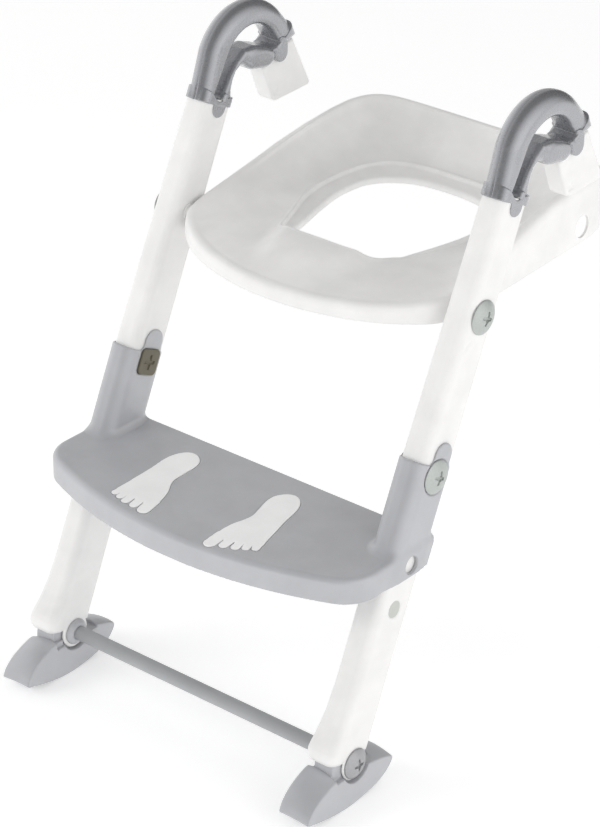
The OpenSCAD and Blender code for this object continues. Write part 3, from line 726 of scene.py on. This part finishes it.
FOOT_W, FOOT_OUT = 37.0, 0.2  # width, and how far its middle is outside the rail's
NECK_R, RECESS_R, RECESS_Z = 29.4, 30.0, -8.0
NECK_HALF, SOLE_HALF, SOLE_GAP, SOLE_T = RAIL_W / 2 - 3.4, 15.15, 0.15, 2.5
FOOT_BOTTOM = [(-73, -31.5), (-65, -34), (-57, -36.5), (-41, -40.3), (-25, -42.8), (-12, -43.5),
               (0, -43), (19, -40.3), (32, -36.8), (42, -31.8), (49, -26), (53.5, -20), (55, -16)]
FOOT_TOP = [(54, -13.5), (51, -11.5), (44, -8.5), (34, -5.5), (20, -2), (9, 1), (-9, 2.5),
            (-22, 2.5), (-30, 1.8), (-40, -0.5), (-52, -6), (-61, -12), (-69, -20.5),
            (-72.5, -27.5)]
CREST_X, CROWN_INNER, CROWN_OUTER = -8.0, 1.5, 7.0
FOOT_SIDE = smooth(FOOT_BOTTOM + FOOT_TOP)
SOLE_LINE = FOOT_BOTTOM[2:9]
SOLE_BAND = SOLE_LINE + [(y, z + SOLE_T) for y, z in reversed(SOLE_LINE)]


def foot_field(x, y, z):
    # the top is crowned across the foot, and falls further on the outer side
    half = FOOT_W / 2
    drop = np.where(x > CREST_X, CROWN_OUTER * ((x - CREST_X) / (half - CREST_X)) ** 2,
                    CROWN_INNER * ((x - CREST_X) / (half + CREST_X)) ** 2)
    lift = drop * np.clip((z + 42) / 34, 0, 1)
    body = meet(outline(y, z + lift, FOOT_SIDE), np.abs(x) - half, 1.6)
    d = hyp(y, z)
    body = cut(body, join(d - EAR_R - 2, np.maximum(d - RECESS_R, RECESS_Z - z), 1), 1.4)
    neck = np.maximum(np.maximum(d - NECK_R, z - 9), np.maximum(y - 12, -36 - z))
    body = join(body, meet(neck, np.abs(x) - NECK_HALF, 1.4), 1)
    # the inner side of the recess is closed in front of the leg
    cheek = np.maximum(np.maximum(d - NECK_R, span(x, -15, -8)), np.maximum(y + 18, z + 2))
    body = join(body, cheek, 0.5)
    sole = np.maximum(outline(y, z, SOLE_BAND) - SOLE_GAP, np.abs(x) - SOLE_HALF)
    return cut(cut(body, sole, 0.2), d - HINGE_HOLE_R, 0.3)


foot_part = carve(foot_field, (-19, -74, -44), (19, 56, 15), 0.9)
for word, side in SIDES.items():
    points, quads = at_foot(foot_part, side)
    points = points + (side * FOOT_OUT, 0, 0)
    piece(f"rocker_foot_{word}", (points, quads), GREY, f"foot_{word}",
          f"foot_{word}")

# ---------------------------------------------------------------- seat

# plan points are (across, rear of the foot hinges) for the right half, from front to rear
BOWL_Y = 300.0
SEAT_PLAN = [(0, 104.6), (30, 106), (58, 111), (90, 120.5), (120, 135), (147, 155), (160, 170),
             (166, 190), (165.5, 240), (164, 280), (162, 320), (160, 360), (158.5, 400),
             (155, 430), (146, 449), (128, 459), (100, 462), (50, 463), (0, 463)]
RIM_PLAN = [(0, 188), (40, 188.5), (58, 196), (70, 217), (82, 245), (94, 275), (100, 310),
            (99, 348), (91, 380), (70, 401), (35, 408.5), (0, 409)]
LIP_PLAN = [(0, 198), (35, 198.5), (50, 203), (57, 215), (65, 245), (73, 275), (80, 310),
            (80, 340), (75, 358), (62, 374), (38, 387), (0, 391)]
EDGE_Y = (100, 150, 184, 209, 245, 279, 306, 351, 391, 420, 463)
EDGE_Z = (451.5, 455.5, 462, 467, 474, 481, 487.5, 495.5, 499.5, 501, 501)
BASE_Z, RIDGE_Z, LIP_Z, POMMEL = 436.0, 458.5, 446.5, 11.5
SEAT_WALL = 3.2
HANG_X, HANG_Y, HANG_Z, HANG_R = 150.0, PIVOT_Y + 401.0, 454.0, 12.0
SEAT_STEPS = 432


def plan_radius(half, t):
    """Radius of a plan curve about the opening's centre at angle t."""
    whole = half + [(-x, y) for x, y in half[-2:0:-1]]
    x, y = (np.array(smooth(whole, 8)) - (0, BOWL_Y)).T
    angle = np.arctan2(y, x)
    order = np.argsort(angle)
    return np.interp(t, angle[order], hyp(x, y)[order], period=2 * math.pi)


def pommel(x, y):
    """Height of the raised splash guard ahead of the opening."""
    reach = np.interp(y, (126, 200, 215), (36, 60, 64))
    across = 1 - blend_in(reach - 16, reach + 13, np.abs(x))
    along = blend_in(104, 182, y) * (1 - blend_in(206, 236, y))
    return POMMEL * across * along


def seat_section(t):
    """Closed section at angle t as rows of (radius, height, share of the pommel's height)."""
    lip, rim, out = (plan_radius(half, t) for half in (LIP_PLAN, RIM_PLAN, SEAT_PLAN))
    ez = np.interp(BOWL_Y + out * np.sin(t), EDGE_Y, EDGE_Z)

    def r(f):
        return rim + (out - rim) * f

    def z(f):
        return RIDGE_Z + (ez - RIDGE_Z) * f

    def inner(f):
        return lip + (rim - lip) * f

    wall = SEAT_WALL
    return [
        (lip, LIP_Z, 0), (lip + 0.1, LIP_Z + 2, 0), (lip + 0.8, LIP_Z + 4.6, 0),
        (lip + 2.6, LIP_Z + 6.4, 0), (inner(0.4), 453.8, 0.1), (inner(0.72), 454.8, 0.3),
        (inner(0.86), 455.4, 0.5), (rim - 1.6, 456.6, 0.8), (rim - 0.4, RIDGE_Z + 0.4, 0.96),
        (rim + 1.4, RIDGE_Z + 0.9, 1), (rim + 3.4, RIDGE_Z + 0.3, 1), (rim + 6, RIDGE_Z + 0.3, 1),
        (r(0.2), z(0.05), 1), (r(0.35), z(0.17), 1), (r(0.5), z(0.37), 1), (r(0.65), z(0.62), 1),
        (r(0.8), z(0.86), 1), (out - 11, z(0.99), 1), (out - 7.5, ez + 0.2, 1),
        (out - 4.2, ez - 0.6, 1), (out - 1.8, ez - 2.6, 1), (out - 0.5, ez - 5.8, 0.6),
        (out - 0.05, ez - 9, 0.2), (out, BASE_Z + 1.6, 0), (out - 0.4, BASE_Z + 0.4, 0),
        (out - 1.2, BASE_Z, 0), (out - wall, BASE_Z, 0), (out - wall, BASE_Z + 1, 0),
        (out - wall - 0.6, ez - 9, 0.2), (out - wall - 5, ez - 4.5, 1),
        (r(0.65) - 1, z(0.62) - wall, 1), (r(0.35), z(0.17) - wall, 1),
        (rim + 3, RIDGE_Z - 3.4, 1), (inner(0.8), 451.4, 0.4), (lip + wall, LIP_Z + 3, 0),
        (lip + wall, LIP_Z, 0),
    ]


def loft_seat():
    """The seat's skin as (points, quads), its sections evenly spaced along the outer edge."""
    fine = np.linspace(-math.pi, math.pi, 4000)
    r = plan_radius(SEAT_PLAN, fine)
    length = np.concatenate([[0], np.cumsum(hyp(np.diff(r * np.cos(fine)),
                                                np.diff(r * np.sin(fine))))])
    t = np.interp(np.linspace(0, length[-1], SEAT_STEPS + 1)[:-1], length, fine)
    rows = np.array([[np.broadcast_to(a, t.shape) for a in row] for row in seat_section(t)])
    rows = hermite(rows, 3)  # section point, (radius, height, share), angle
    x = rows[:, 0] * np.cos(t)
    y = BOWL_Y + rows[:, 0] * np.sin(t)
    z = rows[:, 1] + rows[:, 2] * pommel(x, y)
    points = np.stack([x, PIVOT_Y + y, z], axis=2)
    m = len(rows)
    index = np.arange(m * SEAT_STEPS).reshape(m, SEAT_STEPS)
    right, up = np.roll(index, -1, 1), np.roll(index, -1, 0)
    quads = np.stack([index, right, np.roll(up, -1, 1), up], axis=2).reshape(-1, 4)
    points = points.reshape(-1, 3)
    return points, orient(points, quads)


def hermite(rows, steps):
    """Closed smooth curve through the rows, whose tangents never overshoot the next row."""
    out, m = [], len(rows)
    for i in range(m):
        a, b, c, d = (rows[(i + k) % m] for k in (-1, 0, 1, 2))
        ta, tb = (c - a) * 0.5, (d - b) * 0.5
        limit = np.sqrt(((c - b)[:2] ** 2).sum(0))
        ta, tb = (q * np.minimum(1, limit / (np.sqrt((q[:2] ** 2).sum(0)) + 1e-9))
                  for q in (ta, tb))
        for j in range(steps):
            s = j / steps
            out.append((2 * s ** 3 - 3 * s ** 2 + 1) * b + (s ** 3 - 2 * s ** 2 + s) * ta
                       + (3 * s ** 2 - 2 * s ** 3) * c + (s ** 3 - s ** 2) * tb)
    return np.array(out)


def round_bar(x0, x1, y, z, r, n=64):
    """A round bar along x."""
    a = np.linspace(0, 2 * math.pi, n, endpoint=False)
    points = np.concatenate([np.stack([np.full(n, x), y + r * np.cos(a), z + r * np.sin(a)], 1)
                             for x in (x0, x1)])
    sides = [(i, (i + 1) % n, n + (i + 1) % n, n + i) for i in range(n)]
    ends = [tuple(range(n))[::-1], tuple(range(n, 2 * n))]
    mesh = bpy.data.meshes.new("bar")
    mesh.from_pydata([tuple(p * MM) for p in points], [], sides + ends)
    return linked("bar", mesh)


def cut_away(obj, tool):
    """Takes the tool's shape out of the object, and removes the tool."""
    mod = obj.modifiers.new("cut", "BOOLEAN")
    mod.object, mod.operation, mod.solver = tool, "DIFFERENCE", "EXACT"
    seen = obj.evaluated_get(bpy.context.evaluated_depsgraph_get())
    mesh = bpy.data.meshes.new_from_object(seen)
    obj.modifiers.clear()
    obj.data = mesh
    bpy.data.objects.remove(tool)


seat = mesh_object("seat_moulding", *loft_seat())
for side in SIDES.values():
    x0, x1 = sorted((side * (HANG_X - 5), side * (HANG_X + 20)))
    cut_away(seat, round_bar(x0, x1, HANG_Y, HANG_Z, HANG_R))
seat.data.materials.clear()
seat.data.materials.append(WHITE)
seat.data.shade_smooth()
seat.data.set_sharp_from_angle(angle=math.radians(40))
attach(seat, "seat")
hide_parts("seat_shell")

# ---------------------------------------------------------------- finishes of the CAD nodes shown

for node, material in (("seat_bushes", WHITE), ("seat_pads", RUBBER), ("seat_nuts", STEEL),
                       ("sole_left", RUBBER), ("sole_right", RUBBER)):
    data = frame["nodes"][node].data
    data.materials.clear()
    data.materials.append(material)

# ---------------------------------------------------------------- floor, light and camera


def stage_floor():
    """White paper floor that glows a little, so that it stays white under the object."""
    mesh = bpy.data.meshes.new("floor")
    mesh.from_pydata([(-6, -6, 0), (6, -6, 0), (6, 6, 0), (-6, 6, 0)], [], [(0, 1, 2, 3)])
    paper = bpy.data.materials.new("floor_paper")
    n = Nodes(paper)
    n.link(n.mix(n.noise(3, 2), (0.93, 0.93, 0.93), (0.95, 0.95, 0.95)),
           n.shader.inputs["Base Color"])
    n.shader.inputs["Roughness"].default_value = 0.9
    n.shader.inputs["Specular IOR Level"].default_value = 0.1
    n.shader.inputs["Emission Color"].default_value = (1, 1, 1, 1)
    n.shader.inputs["Emission Strength"].default_value = 0.3
    mesh.materials.append(paper)
    linked("floor", mesh)


def soft_light(name, place, aim, size, power):
    """Square lamp that glossy surfaces don't mirror."""
    data = bpy.data.lights.new(name, "AREA")
    data.energy, data.size = power, size
    obj = linked(name, data)
    obj.location = place
    obj.visible_glossy = False
    obj.rotation_euler = (Vector(aim) - Vector(place)).to_track_quat("-Z", "Y").to_euler()


LIGHT_AIM = (0, 0, 0.3)
stage_floor()
soft_light("key", (-1.6, -2.0, 1.4), LIGHT_AIM, 1.6, 17)
soft_light("side", (2.4, -0.2, 0.9), LIGHT_AIM, 1.6, 11)

DARK_X = -0.05  # sideways direction of the middle of the studio's dark front


def studio_world():
    """White room with a dimmer ceiling, which glossy surfaces see as bright walls beside a dark
    front, so that a streak runs along the grips."""
    world = bpy.data.worlds.new("studio")
    bpy.context.scene.world = world
    n = Nodes(world, "Background", "Generated")
    split = n.add("ShaderNodeSeparateXYZ")
    n.link(n.position, split.inputs[0])
    room = n.remap(split.outputs["Z"], 0.1, 0.9, 0.95, 0.55)
    aside = n.add("ShaderNodeMath")
    aside.inputs[1].default_value = -DARK_X
    n.link(split.outputs["X"], aside.inputs[0])
    distance = n.add("ShaderNodeMath", operation="ABSOLUTE")
    n.link(aside.outputs["Value"], distance.inputs[0])
    mirrored = n.remap(distance.outputs["Value"], 0.3, 1.0, 0.04, 1.4)
    path, choice = n.add("ShaderNodeLightPath"), n.add("ShaderNodeMix")
    for output, key in ((path.outputs["Is Glossy Ray"], "Factor"), (room, "A"), (mirrored, "B")):
        n.link(output, choice.inputs[key])
    n.shader.inputs["Color"].default_value = (1, 1, 1, 1)
    n.link(choice.outputs["Result"], n.shader.inputs["Strength"])


studio_world()
bpy.context.scene.view_settings.view_transform = "Standard"

CAMERA_AIM = Vector((-0.0245, -0.0099, 0.2698))
CAMERA_AZIMUTH, CAMERA_ELEVATION = math.radians(40), math.radians(28.33)
CAMERA_DISTANCE, CAMERA_LENS = 3.151, 136.8
back = Vector((math.sin(CAMERA_AZIMUTH) * math.cos(CAMERA_ELEVATION),
               -math.cos(CAMERA_AZIMUTH) * math.cos(CAMERA_ELEVATION),
               math.sin(CAMERA_ELEVATION)))
camera_data = bpy.data.cameras.new("camera")
camera_data.lens, camera_data.sensor_width = CAMERA_LENS, 36
camera = linked("camera", camera_data)
camera.location = CAMERA_AIM + back * CAMERA_DISTANCE
camera.rotation_euler = (-back).to_track_quat("-Z", "Y").to_euler()
bpy.context.scene.camera = camera
